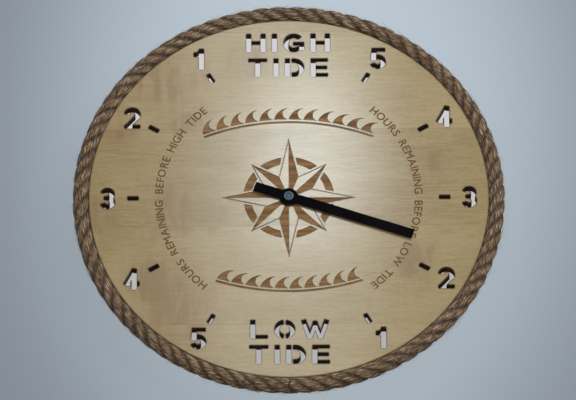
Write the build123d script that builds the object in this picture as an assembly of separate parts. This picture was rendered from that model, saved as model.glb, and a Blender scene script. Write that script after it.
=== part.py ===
# Wall-hung tide clock: a round wooden dial with a rope glued round its rim, one hand,
# and a battery quartz movement behind the dial that turns the hand once a tide.
# Millimetres. The origin lies on the wall, behind the hand's arbor; +X is right and +Z is up
# for someone facing the clock, and +Y points into the wall, so the dial faces -Y.
import os
from math import acos, atan2, cos, degrees, hypot, pi, radians, sin, sqrt, tan

from build123d import *

# Dial and rope
DIAL_DIAMETER = 300.0
DIAL_THICKNESS = 8.0
DIAL_EDGE_ROUND = 0.6
ROPE_DIAMETER = 12.0
ROPE_GLUE_GAP = 0.1
ROPE_JOINT_GAP = 1.0

# Hour marks, all cut right through the dial
HOUR_STEP_DEG = 30.0
TICK_LENGTH = 8.2
TICK_NUMERAL_GAP = 5.85
TICK_WIDTH = 3.3
NUMERAL_RIM_GAP = 5.55
NUMERAL_HEIGHT = 17.7
NUMERAL_WIDTH = 11.9
NUMERAL_STROKE = 3.8
WORD_RIM_GAP = 11.2
WORD_LINE_GAP = 5.4
WORD_HEIGHT = 15.6
WORD_STROKE = 3.7
WORD_LETTER_GAP = 4.9
FLAT_STROKE_SHARE = 0.8

# Engraved ornament: a compass rose round the arbor and two bands of breaking waves
ENGRAVING_DEPTH = 0.4
ROSE_LONG_RADIUS = 50.0
ROSE_SHORT_RADIUS = 40.0
ROSE_NOTCH_RADIUS = 19.0
ROSE_RING_RADIUS = 34.0
ROSE_RING_WIDTH = 5.6
ROSE_GAP = 1.5
ROSE_OUTLINE = 1.1
ROSE_POINTS = 8
WAVE_ARC_RADIUS = 170.0
WAVE_PITCH = 11.0
WAVE_LENGTH = 10.4
WAVE_HEIGHT = 9.6
WAVE_LINE_GAP = 1.6
WAVE_LINE_WIDTH = 1.5
UPPER_WAVES_Z = 66.0
UPPER_WAVE_COUNT = 12
LOWER_WAVES_Z = -76.0
LOWER_WAVE_COUNT = 10

# Hand
HAND_LENGTH = 98.0
HAND_TAIL = 27.0
HAND_WIDTH = 7.6
HAND_THICKNESS = 0.8
HAND_BOSS_DIAMETER = 13.7
HAND_ABOVE_DIAL = 1.4
HAND_DEG_BELOW_RIGHT = 19.0
COLLET_DIAMETER = 8.6
COLLET_SHOULDER = 1.0
COLLET_LIP = 0.3
CAP_DIAMETER = 7.4
CAP_HEIGHT = 1.2
CAP_EDGE_ROUND = 0.45
CAP_DISH_DIAMETER = 4.6
CAP_DISH_DEPTH = 0.35

# Fixing through the dial
BUSH_DIAMETER = 8.0
BUSH_FLANGE_DIAMETER = 11.0
BUSH_FLANGE_THICKNESS = 0.6
BUSH_ABOVE_NUT = 0.2
DIAL_HOLE_CLEARANCE = 0.2
GASKET_DIAMETER = 24.0
GASKET_THICKNESS = 1.0
COUNTERBORE_DIAMETER = 12.8
COUNTERBORE_DEPTH = 3.2
WASHER_DIAMETER = 12.0
WASHER_THICKNESS = 0.6
NUT_ACROSS_FLATS = 10.0
NUT_THICKNESS = 2.0
NUT_SIDES = 6

# Movement case: a tray that is closed by a cover over the wheels, with an open battery bay
CASE_SIDE = 56.0
CASE_DEPTH = 16.0
CASE_WALL = 1.5
CASE_FLOOR = 1.4
CASE_CORNER_ROUND = 3.0
PARTITION_THICKNESS = 1.0
COVER_THICKNESS = 1.6
COVER_CLEARANCE = 0.15
POST_DIAMETER = 4.4
POST_INSET = 3.2
POST_WASHER_GAP = 0.02
SCREW_DIAMETER = 1.7
SCREW_HEAD_DIAMETER = 3.2
SCREW_HEAD_THICKNESS = 0.9
SCREW_LENGTH = 6.0
SCREW_SLOT_WIDTH = 0.5
SCREW_SLOT_DEPTH = 0.4
EYE_HOLE_DIAMETER = 5.0
EYE_RIM = 3.5
EYE_THICKNESS = 2.4
EYE_RISE = 5.5

# Battery bay: one LR6 size cell lying across the foot of the case
CELL_DIAMETER = 14.2
CELL_LENGTH = 49.2
CELL_NUB_DIAMETER = 5.5
CELL_NUB_LENGTH = 1.0
CELL_FLOOR_GAP = 0.1
CELL_EDGE_ROUND = 0.6
CONTACT_THICKNESS = 0.4
CONTACT_WIDTH = 6.0
CONTACT_TAIL_WIDTH = 2.0
LEAF_SPAN = 10.0

# Wheelwork
TIDE_WHEEL_TEETH = 40
MOTION_PINION_TEETH = 11
MOTION_WHEEL_TEETH = 41
CANNON_PINION_TEETH = 12
MOTION_DISTANCE = 10.6
MOTION_DIRECTION_DEG = 150.0
CLUTCH_WHEEL_TEETH = 64
GOING_WHEEL_TEETH = 60
THIRD_PINION_TEETH = 8
SECOND_PINION_TEETH = 8
STEP_PINION_TEETH = 12
ROTOR_PINION_TEETH = 10
GOING_MODULE = 0.25
ADDENDUM_SHARE = 0.75
DEDENDUM_SHARE = 1.15
TOOTH_THICKNESS_SHARE = 0.78
PRESSURE_ANGLE_DEG = 20.0
MOTION_LAYER = 1.1
GOING_LAYER = 1.0
LAYER_GAP = 0.4
BEARING_PLATE_THICKNESS = 1.0
PIVOT_DIAMETER = 1.0
PIVOT_DEPTH = 0.8
PIVOT_CLEARANCE = 0.05
PIVOT_END_GAP = 0.2
ARBOR_DIAMETER = 1.4
CENTRE_ARBOR_DIAMETER = 2.0
CENTRE_ARBOR_IN_TUBE = 6.0
CLUTCH_HUB_DIAMETER = 3.4
TIDE_TUBE_DIAMETER = 5.0
WHEEL_SPOKE_HOLES = 4
KNOB_DIAMETER = 9.4
KNOB_THICKNESS = 2.6
KNOB_GRIPS = 18
KNOB_GRIP_DIAMETER = 0.9
KNOB_SUNK = 0.3
KNOB_RING_GAP = 0.5
KNOB_WELL_WALL = 1.0

# Stepping motor
ROTOR_X = 17.5
ROTOR_Z = 14.0
STEP_FROM_ROTOR_DEG = -100.0
SECOND_FROM_STEP_DEG = -135.0
MAGNET_DIAMETER = 4.4
MAGNET_LENGTH = 1.7
STATOR_THICKNESS = 1.0
STATOR_BORE_GAP = 0.4
STATOR_RING_WIDTH = 2.2
STATOR_ARM_WIDTH = 3.0
STATOR_NOTCH = 0.6
STATOR_ABOVE_PLATE = 3.2
COIL_Z = 23.0
COIL_LEFT_X = 2.6
COIL_LENGTH = 13.8
COIL_FLANGE_DIAMETER = 6.6
COIL_FLANGE_THICKNESS = 0.8
COIL_DIAMETER = 5.8
COIL_TUBE_WALL = 0.5
CORE_WIDTH = 2.4
CORE_THICKNESS = 1.0
CORE_OVERHANG = 3.6
CORE_CLEARANCE = 0.05
LEAD_DIAMETER = 0.4
LEAD_INSET = 0.5
LEAD_RISE = 1.3
LEAD_PAD_INSET = 2.0

# Circuit board
BOARD_WIDTH = 13.6
BOARD_HEIGHT = 32.0
BOARD_THICKNESS = 1.0
BOARD_EDGE_GAP = 0.4
CHIP_DIAMETER = 6.0
CHIP_HEIGHT = 1.3
CRYSTAL_DIAMETER = 2.0
CRYSTAL_LENGTH = 6.2
CHIP_HEIGHT_SHARE = 0.42
CRYSTAL_HEIGHT_SHARE = 0.70

# Every cut tool runs past the face that it opens by this much
OVERRUN = 2.0

# Depths along Y, worked out from the wall forwards
case_front_y = -CASE_DEPTH
dial_back_y = case_front_y - GASKET_THICKNESS
dial_front_y = dial_back_y - DIAL_THICKNESS
rope_middle_y = dial_back_y - ROPE_DIAMETER / 2
washer_seat_y = dial_front_y + COUNTERBORE_DEPTH
washer_front_y = washer_seat_y - WASHER_THICKNESS
nut_front_y = washer_front_y - NUT_THICKNESS
bush_front_y = nut_front_y - BUSH_ABOVE_NUT
hand_back_y = dial_front_y - HAND_ABOVE_DIAL
hand_front_y = hand_back_y - HAND_THICKNESS
collet_front_y = hand_front_y - COLLET_LIP
floor_y = case_front_y + CASE_FLOOR
cover_inner_y = -COVER_THICKNESS
tide_layer_y = floor_y + LAYER_GAP
motion_layer_y = tide_layer_y + MOTION_LAYER + LAYER_GAP
bearing_plate_y = motion_layer_y + MOTION_LAYER + LAYER_GAP
plate_back_y = bearing_plate_y + BEARING_PLATE_THICKNESS
clutch_layer_y = plate_back_y + LAYER_GAP
third_layer_y = clutch_layer_y + GOING_LAYER + LAYER_GAP
second_layer_y = third_layer_y + GOING_LAYER + LAYER_GAP
step_layer_y = second_layer_y + GOING_LAYER + LAYER_GAP
stator_y = plate_back_y + STATOR_ABOVE_PLATE
core_y = stator_y + STATOR_THICKNESS
coil_axis_y = core_y + CORE_THICKNESS / 2
board_back_y = plate_back_y + BOARD_THICKNESS

# Places in the plane of the dial, as (x, z)
numeral_radius = DIAL_DIAMETER / 2 - NUMERAL_RIM_GAP - NUMERAL_HEIGHT / 2
tick_radius = numeral_radius - NUMERAL_HEIGHT / 2 - TICK_NUMERAL_GAP - TICK_LENGTH / 2
outer_line_z = DIAL_DIAMETER / 2 - WORD_RIM_GAP - WORD_HEIGHT / 2
inner_line_z = outer_line_z - WORD_HEIGHT - WORD_LINE_GAP
inner_half = CASE_SIDE / 2 - CASE_WALL
cell_z = -inner_half + CELL_DIAMETER / 2 + CELL_FLOOR_GAP
partition_top_z = cell_z + CELL_DIAMETER / 2 + CELL_FLOOR_GAP + PARTITION_THICKNESS
cell_axis_y = -CELL_DIAMETER / 2 - CELL_FLOOR_GAP
wheel_bay_bottom_z = partition_top_z + COVER_CLEARANCE


def polar(radius, angle_deg):
    return radius * cos(radians(angle_deg)), radius * sin(radians(angle_deg))


def offset_from(place, radius, angle_deg):
    step = polar(radius, angle_deg)
    return place[0] + step[0], place[1] + step[1]


def mesh_distance(first_teeth, second_teeth):
    return GOING_MODULE * (first_teeth + second_teeth) / 2


def meeting_point(centre, radius, other, other_radius):
    # The upper of the two points that lie at the given distances from two centres
    gap = hypot(other[0] - centre[0], other[1] - centre[1])
    along = (gap**2 + radius**2 - other_radius**2) / (2 * gap)
    across = sqrt(radius**2 - along**2)
    ux, uz = (other[0] - centre[0]) / gap, (other[1] - centre[1]) / gap
    return centre[0] + along * ux - across * uz, centre[1] + along * uz + across * ux


centre_place = (0.0, 0.0)
motion_place = polar(MOTION_DISTANCE, MOTION_DIRECTION_DEG)
rotor_place = (ROTOR_X, ROTOR_Z)
step_place = offset_from(
    rotor_place, mesh_distance(ROTOR_PINION_TEETH, GOING_WHEEL_TEETH), STEP_FROM_ROTOR_DEG
)
second_place = offset_from(
    step_place, mesh_distance(STEP_PINION_TEETH, GOING_WHEEL_TEETH), SECOND_FROM_STEP_DEG
)
third_place = meeting_point(
    centre_place,
    mesh_distance(THIRD_PINION_TEETH, CLUTCH_WHEEL_TEETH),
    second_place,
    mesh_distance(SECOND_PINION_TEETH, GOING_WHEEL_TEETH),
)
post_reach = inner_half - POST_INSET
post_places = [
    (-post_reach, post_reach),
    (post_reach, post_reach),
    (-post_reach, partition_top_z + POST_INSET),
    (post_reach, partition_top_z + POST_INSET),
]
train_places = [third_place, second_place, step_place, rotor_place]


# Shared helpers: everything is drawn facing the dial and given a depth along Y
def at_depth(y, place=(0.0, 0.0)):
    return Plane(origin=(place[0], y, place[1]), x_dir=(1, 0, 0), z_dir=(0, -1, 0))


def slab(face, near_wall_y, front_y, place=(0.0, 0.0)):
    return extrude(at_depth(near_wall_y, place) * face, amount=near_wall_y - front_y)


def rod(diameter, near_wall_y, front_y, place=(0.0, 0.0)):
    return slab(Circle(diameter / 2), near_wall_y, front_y, place)


def tube(outer, inner, near_wall_y, front_y, place=(0.0, 0.0)):
    return slab(Circle(outer / 2) - Circle(inner / 2), near_wall_y, front_y, place)


def block(x_range, y_range, z_range):
    size = [high - low for low, high in (x_range, y_range, z_range)]
    middle = [(low + high) / 2 for low, high in (x_range, y_range, z_range)]
    return Pos(*middle) * Box(*size)


def bar(start, end, width):
    # A straight stroke with square ends half a width past both points
    length = hypot(end[0] - start[0], end[1] - start[1]) + width
    turn = degrees(atan2(end[1] - start[1], end[0] - start[0]))
    middle = ((start[0] + end[0]) / 2, (start[1] + end[1]) / 2)
    return Pos(*middle) * Rot(0, 0, turn) * Rectangle(length, width)


def butt_bar(start, end, width):
    # A straight stroke that ends exactly at its points
    length = hypot(end[0] - start[0], end[1] - start[1])
    turn = degrees(atan2(end[1] - start[1], end[0] - start[0]))
    middle = ((start[0] + end[0]) / 2, (start[1] + end[1]) / 2)
    return Pos(*middle) * Rot(0, 0, turn) * Rectangle(length, width)


def arc_stroke(centre, radius, start_deg, end_deg, width):
    # A stroke along a circular arc, from start_deg anticlockwise to end_deg
    sweep = end_deg - start_deg
    line = CenterArc((centre[0], centre[1]), radius, start_deg, sweep)
    return trace(line, line_width=width)


# Gears
def involute(angle):
    return tan(angle) - angle


def gear_face(teeth, module, turn_deg):
    # Teeth have straight flanks from root to tip, inside the involute curve, with play
    pitch_radius = module * teeth / 2
    base_radius = pitch_radius * cos(radians(PRESSURE_ANGLE_DEG))
    tip_radius = pitch_radius + ADDENDUM_SHARE * module
    root_radius = pitch_radius - DEDENDUM_SHARE * module
    pitch_half = TOOTH_THICKNESS_SHARE * pi / (2 * teeth)

    def half_angle(radius):
        flank = acos(base_radius / max(radius, base_radius))
        return pitch_half + involute(radians(PRESSURE_ANGLE_DEG)) - involute(flank)

    points = []
    for tooth in range(teeth):
        middle = radians(turn_deg) + 2 * pi * tooth / teeth
        for radius, side in ((root_radius, -1), (tip_radius, -1), (tip_radius, 1), (root_radius, 1)):
            angle = middle + side * half_angle(radius)
            points.append((radius * cos(angle), radius * sin(angle)))
    return make_face(Polyline(*points, close=True))


def mesh_turn(first_place, first_teeth, first_turn_deg, second_place_, second_teeth):
    # The turn that puts a gap of the second gear over a tooth of the first
    line = degrees(atan2(second_place_[1] - first_place[1], second_place_[0] - first_place[0]))
    first_pitch = 360 / first_teeth
    second_pitch = 360 / second_teeth
    first_phase = (line - first_turn_deg) / first_pitch
    second_phase = 1 / 2 - first_phase
    return line + 180 - second_phase * second_pitch


def lightened(face, root_radius, hub_radius):
    # Round windows between the rim and the hub
    window = (root_radius - hub_radius) / 2 - ARBOR_DIAMETER / 2
    middle = (root_radius + hub_radius) / 2
    return face - PolarLocations(middle, WHEEL_SPOKE_HOLES) * Circle(window)


def wheel_root(teeth, module):
    return module * teeth / 2 - DEDENDUM_SHARE * module


# Strokes of the cut-out numerals and letters. x runs over the room between the outer strokes'
# middles as a share of the width, and z as a share of the height.
NUMERAL_SHARES = {
    "1": [
        ("bar", (0.80, 0), (0.80, 1)),
        ("butt", (0.08, 0.78), (0.80, 0.78)),
        ("butt", (0.46, 0.78), (0.80, 0.98)),
    ],
    "4": [
        ("bar", (0.70, 0), (0.70, 1)),
        ("bar", (0.66, 1), (0.00, 0.27)),
        ("butt", (0.00, 0.23), (0.32, 0.23)),
        ("butt", (0.70, 0.23), (1.18, 0.23)),
    ],
    "2": [
        ("arc", (0.5, 0.69), 0.31, -38, 172),
        ("bar", (0.80, 0.48), (0.12, 0.04)),
        ("flat", (0, 0), (1, 0)),
    ],
    "3": [
        ("arc", (0.46, 0.755), 0.245, -90, 165),
        ("arc", (0.46, 0.265), 0.265, -165, 90),
        ("flat", (0.36, 0.52), (0.50, 0.52)),
    ],
    "5": [
        ("flat", (0.14, 1), (0.92, 1)),
        ("bar", (0.12, 0.96), (0.05, 0.52)),
        ("arc", (0.46, 0.30), 0.30, -160, 138),
    ],
}
LETTER_SHARES = {
    "H": (0.91, [("bar", (0, 0), (0, 1)), ("bar", (1, 0), (1, 1)), ("flat", (0, 0.5), (1, 0.5))]),
    "I": (0.0, [("bar", (0, 0), (0, 1))]),
    "G": (
        1.0,
        [
            ("arc", (0.5, 0.5), 0.5, 40, 322),
            ("flat", (0.62, 0.44), (1, 0.44)),
            ("bar", (1, 0.12), (1, 0.40)),
        ],
    ),
    "T": (0.87, [("flat", (0, 1), (1, 1)), ("bar", (0.5, 0), (0.5, 1))]),
    "D": (
        0.91,
        [
            ("bar", (0, 0), (0, 1)),
            ("butt", (0.30, 1), (0.46, 1)),
            ("butt", (0.30, 0), (0.46, 0)),
            ("arc", (0.45, 0.5), 0.5, -90, 90),
        ],
    ),
    "E": (
        0.78,
        [
            ("bar", (0, 0), (0, 1)),
            ("flat", (0, 0), (1, 0)),
            ("flat", (0, 0.5), (0.92, 0.5)),
            ("flat", (0, 1), (1, 1)),
        ],
    ),
    "L": (0.78, [("bar", (0, 0), (0, 1)), ("flat", (0, 0), (1, 0))]),
    "O": (1.0, [("arc", (0.5, 0.5), 0.5, 98, 262), ("arc", (0.5, 0.5), 0.5, -82, 82)]),
    "W": (
        1.37,
        [
            ("bar", (0, 1), (0.25, 0)),
            ("bar", (0.25, 0), (0.5, 0.9)),
            ("bar", (0.5, 0.9), (0.75, 0)),
            ("bar", (0.75, 0), (1, 1)),
        ],
    ),
}
# One breaking crest: up its back to the tip, then down the hollow in front
CREST_SHARES = {
    "start": (0, 0),
    "back": (0.30, 0.62),
    "tip": (1, 1),
    "hollow": (0.62, 0.50),
    "foot": (0.94, 0),
}


def glyph(strokes, width, height, stroke):
    # One numeral or letter, centred, from its table of strokes; flat ones are thinner
    room_x, room_z = width - stroke, height - stroke
    flat = FLAT_STROKE_SHARE * stroke

    def place(share):
        return (share[0] - 0.5) * room_x, (share[1] - 0.5) * room_z

    faces = []
    for kind, first, *rest in strokes:
        if kind == "arc":
            radius, start_deg, end_deg = rest
            faces.append(arc_stroke(place(first), radius * room_z, start_deg, end_deg, stroke))
        elif kind == "flat":
            middle_z = (first[1] - 0.5) * (height - flat)
            left_x = place(first)[0] - stroke / 2
            right_x = place(rest[0])[0] + stroke / 2
            faces.append(butt_bar((left_x, middle_z), (right_x, middle_z), flat))
        else:
            draw = bar if kind == "bar" else butt_bar
            faces.append(draw(place(first), place(rest[0]), stroke))
    return Sketch() + faces


def word(letters, middle_z):
    widths = [LETTER_SHARES[letter][0] * (WORD_HEIGHT - WORD_STROKE) + WORD_STROKE for letter in letters]
    total = sum(widths) + WORD_LETTER_GAP * (len(letters) - 1)
    x = -total / 2
    faces = []
    for letter, width in zip(letters, widths):
        drawn = glyph(LETTER_SHARES[letter][1], width, WORD_HEIGHT, WORD_STROKE)
        faces.append(Pos(x + width / 2, middle_z) * drawn)
        x += width + WORD_LETTER_GAP
    return faces


def hour_marks():
    # Down the right the hours count 5 to 1 towards low water, up the left 5 to 1 towards high
    faces = []
    for index in range(1, 6):
        for side, name in ((1, str(6 - index)), (-1, str(index))):
            angle = 90 - side * index * HOUR_STEP_DEG
            numeral = glyph(NUMERAL_SHARES[name], NUMERAL_WIDTH, NUMERAL_HEIGHT, NUMERAL_STROKE)
            faces.append(Pos(*polar(numeral_radius, angle)) * numeral)
            tick = Rot(0, 0, angle) * Rectangle(TICK_LENGTH, TICK_WIDTH)
            faces.append(Pos(*polar(tick_radius, angle)) * tick)
    return faces


def compass_rose():
    # Each point has one engraved half and one outlined half, and the points break the ring
    half_step = 180 / ROSE_POINTS
    engraved, outlines, star = [], [], []
    for index in range(ROSE_POINTS):
        angle = 90 + index * 2 * half_step
        reach = ROSE_LONG_RADIUS if index % 2 == 0 else ROSE_SHORT_RADIUS
        tip = polar(reach, angle)
        filled_notch = polar(ROSE_NOTCH_RADIUS, angle - half_step)
        open_notch = polar(ROSE_NOTCH_RADIUS, angle + half_step)
        engraved.append(make_face(Polyline((0, 0), tip, filled_notch, close=True)))
        outlines.append(bar(open_notch, tip, ROSE_OUTLINE))
        star += [tip, open_notch]
    whole = make_face(Polyline(*star, close=True))
    ring = Circle(ROSE_RING_RADIUS) - Circle(ROSE_RING_RADIUS - ROSE_RING_WIDTH)
    open_halves = (Sketch() + outlines) & whole
    return (ring - offset(whole, amount=ROSE_GAP)) + engraved + open_halves


def wave_crest():
    spots = {name: (x * WAVE_LENGTH, z * WAVE_HEIGHT) for name, (x, z) in CREST_SHARES.items()}
    back = ThreePointArc(spots["start"], spots["back"], spots["tip"])
    hollow = ThreePointArc(spots["tip"], spots["hollow"], spots["foot"])
    crest = make_face(Curve() + [back, hollow, Line(spots["foot"], spots["start"])])
    return Pos(-WAVE_LENGTH / 2, 0) * crest


def wave_band(middle_z, count, side):
    # A row of crests over a thin line, on an arc bowed up (side 1) or down (side -1)
    centre = (0, middle_z - side * WAVE_ARC_RADIUS)
    step_deg = degrees(WAVE_PITCH / WAVE_ARC_RADIUS)
    half_span_deg = step_deg * count / 2
    line_radius = WAVE_ARC_RADIUS - side * (WAVE_LINE_GAP + WAVE_LINE_WIDTH / 2)
    line_start = side * 90 - half_span_deg
    faces = [arc_stroke(centre, line_radius, line_start, line_start + 2 * half_span_deg, WAVE_LINE_WIDTH)]
    for index in range(count):
        lean_deg = (index + 1 / 2) * step_deg - half_span_deg
        place = offset_from(centre, WAVE_ARC_RADIUS, side * (90 - lean_deg))
        faces.append(Pos(*place) * Rot(0, 0, -side * lean_deg) * wave_crest())
    return Sketch() + faces


# Dial side
def make_dial_plate():
    plate = rod(DIAL_DIAMETER, dial_back_y, dial_front_y)
    rims = plate.edges().filter_by(GeomType.CIRCLE)
    plate = fillet(rims, DIAL_EDGE_ROUND)
    words = word("HIGH", outer_line_z) + word("TIDE", inner_line_z)
    words += word("LOW", -inner_line_z) + word("TIDE", -outer_line_z)
    cut_faces = Sketch() + (hour_marks() + words)
    plate -= slab(cut_faces, dial_back_y + OVERRUN, dial_front_y - OVERRUN)
    hole = BUSH_DIAMETER + 2 * DIAL_HOLE_CLEARANCE
    plate -= rod(hole, dial_back_y + OVERRUN, dial_front_y - OVERRUN)
    plate -= rod(COUNTERBORE_DIAMETER, washer_seat_y, dial_front_y - OVERRUN)
    upper_band = wave_band(UPPER_WAVES_Z, UPPER_WAVE_COUNT, 1)
    lower_band = wave_band(LOWER_WAVES_Z, LOWER_WAVE_COUNT, -1)
    engraved = Sketch() + [compass_rose(), upper_band, lower_band]
    return plate - slab(engraved, dial_front_y + ENGRAVING_DEPTH, dial_front_y - OVERRUN)


def make_rope_trim():
    # One length of rope glued round the rim, level with the dial's back, its ends butted at the foot
    ring_radius = DIAL_DIAMETER / 2 + ROPE_GLUE_GAP + ROPE_DIAMETER / 2
    gap_deg = degrees(ROPE_JOINT_GAP / ring_radius)
    line = CenterArc((0, 0), ring_radius, -90 + gap_deg / 2, 360 - gap_deg)
    path = at_depth(rope_middle_y) * line
    section = Plane(origin=path @ 0, z_dir=path % 0) * Circle(ROPE_DIAMETER / 2)
    return sweep(section, path=path)


def make_rubber_gasket():
    return tube(GASKET_DIAMETER, BUSH_DIAMETER, case_front_y, dial_back_y)


def make_brass_washer():
    return tube(WASHER_DIAMETER, BUSH_DIAMETER, washer_seat_y, washer_front_y)


def make_fixing_nut():
    corner_radius = NUT_ACROSS_FLATS / 2 / cos(pi / NUT_SIDES)
    hexagon = RegularPolygon(corner_radius, NUT_SIDES) - Circle(BUSH_DIAMETER / 2)
    return slab(hexagon, washer_front_y, nut_front_y)


def make_threaded_bush():
    # Held in the tray by a flange behind its floor
    flange_y = floor_y + BUSH_FLANGE_THICKNESS / 2
    bush = rod(BUSH_DIAMETER, flange_y, bush_front_y)
    bush += rod(BUSH_FLANGE_DIAMETER, flange_y, floor_y - BUSH_FLANGE_THICKNESS / 2)
    bore = TIDE_TUBE_DIAMETER + 2 * PIVOT_CLEARANCE
    return bush - rod(bore, flange_y + OVERRUN, bush_front_y - OVERRUN)


def make_tide_hand():
    bar_face = butt_bar((-HAND_TAIL, 0), (HAND_LENGTH, 0), HAND_WIDTH)
    face = (bar_face + Circle(HAND_BOSS_DIAMETER / 2)) - Circle(COLLET_DIAMETER / 2 - COLLET_SHOULDER)
    return slab(Rot(0, 0, -HAND_DEG_BELOW_RIGHT) * face, hand_back_y, hand_front_y)


def make_hand_collet():
    # A shouldered brass ring that is riveted into the hand and pushed on the tide tube
    shoulder = tube(COLLET_DIAMETER, TIDE_TUBE_DIAMETER, hand_back_y + COLLET_SHOULDER, hand_back_y)
    neck = COLLET_DIAMETER - 2 * COLLET_SHOULDER
    return shoulder + tube(neck, TIDE_TUBE_DIAMETER, hand_back_y, collet_front_y)


def make_hand_cap():
    cap_front_y = collet_front_y - CAP_HEIGHT
    cap = rod(CAP_DIAMETER, collet_front_y, cap_front_y)
    front = cap.edges().filter_by(GeomType.CIRCLE).sort_by(Axis.Y)[0]
    cap = fillet(front, CAP_EDGE_ROUND)
    return cap - rod(CAP_DISH_DIAMETER, cap_front_y + CAP_DISH_DEPTH, cap_front_y - OVERRUN)


# Motion work, between the tray's floor and the bearing plate
def motion_modules():
    tide_module = 2 * MOTION_DISTANCE / (TIDE_WHEEL_TEETH + MOTION_PINION_TEETH)
    motion_module = 2 * MOTION_DISTANCE / (MOTION_WHEEL_TEETH + CANNON_PINION_TEETH)
    return tide_module, motion_module


def make_tide_wheel():
    # The wheel, and the tube that carries the hand out through the bush
    tide_module, _ = motion_modules()
    rim = lightened(
        gear_face(TIDE_WHEEL_TEETH, tide_module, 0),
        wheel_root(TIDE_WHEEL_TEETH, tide_module),
        TIDE_TUBE_DIAMETER / 2,
    )
    wheel = slab(rim, tide_layer_y + MOTION_LAYER, tide_layer_y)
    wheel += rod(TIDE_TUBE_DIAMETER, tide_layer_y + MOTION_LAYER, collet_front_y)
    bore = CENTRE_ARBOR_DIAMETER + 2 * PIVOT_CLEARANCE
    return wheel - rod(bore, tide_layer_y + MOTION_LAYER + OVERRUN, collet_front_y - OVERRUN)


def make_motion_wheel():
    # Its arbor runs out through the cover, where the setting knob is pushed on
    tide_module, motion_module = motion_modules()
    pinion_turn = mesh_turn(centre_place, TIDE_WHEEL_TEETH, 0, motion_place, MOTION_PINION_TEETH)
    pinion = gear_face(MOTION_PINION_TEETH, tide_module, pinion_turn)
    wheel = slab(pinion, motion_layer_y, tide_layer_y, motion_place)
    rim = lightened(
        gear_face(MOTION_WHEEL_TEETH, motion_module, 0),
        wheel_root(MOTION_WHEEL_TEETH, motion_module),
        CENTRE_ARBOR_DIAMETER,
    )
    wheel += slab(rim, motion_layer_y + MOTION_LAYER, motion_layer_y, motion_place)
    wheel += rod(CENTRE_ARBOR_DIAMETER, -KNOB_SUNK, tide_layer_y, motion_place)
    return wheel + rod(PIVOT_DIAMETER, tide_layer_y, floor_y - PIVOT_DEPTH + PIVOT_END_GAP, motion_place)


def make_setting_knob():
    grips = PolarLocations(KNOB_DIAMETER / 2, KNOB_GRIPS) * Circle(KNOB_GRIP_DIAMETER / 2)
    face = Circle(KNOB_DIAMETER / 2) - grips - Circle(CENTRE_ARBOR_DIAMETER / 2)
    return slab(face, -KNOB_SUNK, -KNOB_SUNK - KNOB_THICKNESS, motion_place)


def make_cannon_pinion():
    # Runs inside the tide tube in front, and in the cover behind
    _, motion_module = motion_modules()
    turn = mesh_turn(motion_place, MOTION_WHEEL_TEETH, 0, centre_place, CANNON_PINION_TEETH)
    pinion = slab(
        gear_face(CANNON_PINION_TEETH, motion_module, turn), motion_layer_y + MOTION_LAYER, motion_layer_y
    )
    shoulder_y = cover_inner_y - PIVOT_END_GAP
    pinion += rod(CENTRE_ARBOR_DIAMETER, shoulder_y, floor_y - CENTRE_ARBOR_IN_TUBE)
    return pinion + rod(PIVOT_DIAMETER, shoulder_y + PIVOT_DEPTH, shoulder_y)


# Going train, between the bearing plate and the cover
third_turn = mesh_turn(centre_place, CLUTCH_WHEEL_TEETH, 0, third_place, THIRD_PINION_TEETH)
second_turn = mesh_turn(third_place, GOING_WHEEL_TEETH, 0, second_place, SECOND_PINION_TEETH)
step_turn = mesh_turn(second_place, GOING_WHEEL_TEETH, 0, step_place, STEP_PINION_TEETH)
rotor_turn = mesh_turn(step_place, GOING_WHEEL_TEETH, 0, rotor_place, ROTOR_PINION_TEETH)


def make_clutch_wheel():
    # Slips on the centre arbor when the hand is set
    rim = lightened(
        gear_face(CLUTCH_WHEEL_TEETH, GOING_MODULE, 0),
        wheel_root(CLUTCH_WHEEL_TEETH, GOING_MODULE),
        CLUTCH_HUB_DIAMETER / 2,
    )
    wheel = slab(rim, clutch_layer_y + GOING_LAYER, clutch_layer_y)
    hub_back_y = third_layer_y - LAYER_GAP / 2
    wheel += rod(CLUTCH_HUB_DIAMETER, hub_back_y, clutch_layer_y)
    bore = CENTRE_ARBOR_DIAMETER + 2 * PIVOT_CLEARANCE
    return wheel - rod(bore, hub_back_y + OVERRUN, clutch_layer_y - OVERRUN)


def train_arbor(place):
    # Pivots run in the bearing plate in front and in the cover behind
    body = rod(ARBOR_DIAMETER, cover_inner_y - PIVOT_END_GAP, plate_back_y + PIVOT_END_GAP, place)
    rear_y = cover_inner_y + PIVOT_DEPTH - PIVOT_END_GAP
    return body + rod(PIVOT_DIAMETER, rear_y, bearing_plate_y + PIVOT_END_GAP, place)


def train_wheel(place, pinion_teeth, pinion_turn, pinion_y, wheel_y):
    rim = lightened(
        gear_face(GOING_WHEEL_TEETH, GOING_MODULE, 0),
        wheel_root(GOING_WHEEL_TEETH, GOING_MODULE),
        ARBOR_DIAMETER,
    )
    pinion = gear_face(pinion_teeth, GOING_MODULE, pinion_turn)
    wheel = train_arbor(place) + slab(rim, wheel_y + GOING_LAYER, wheel_y, place)
    return wheel + slab(pinion, wheel_y, pinion_y, place)


def make_third_wheel():
    return train_wheel(third_place, THIRD_PINION_TEETH, third_turn, clutch_layer_y, third_layer_y)


def make_second_wheel():
    return train_wheel(second_place, SECOND_PINION_TEETH, second_turn, third_layer_y, second_layer_y)


def make_step_wheel():
    return train_wheel(step_place, STEP_PINION_TEETH, step_turn, second_layer_y, step_layer_y)


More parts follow.
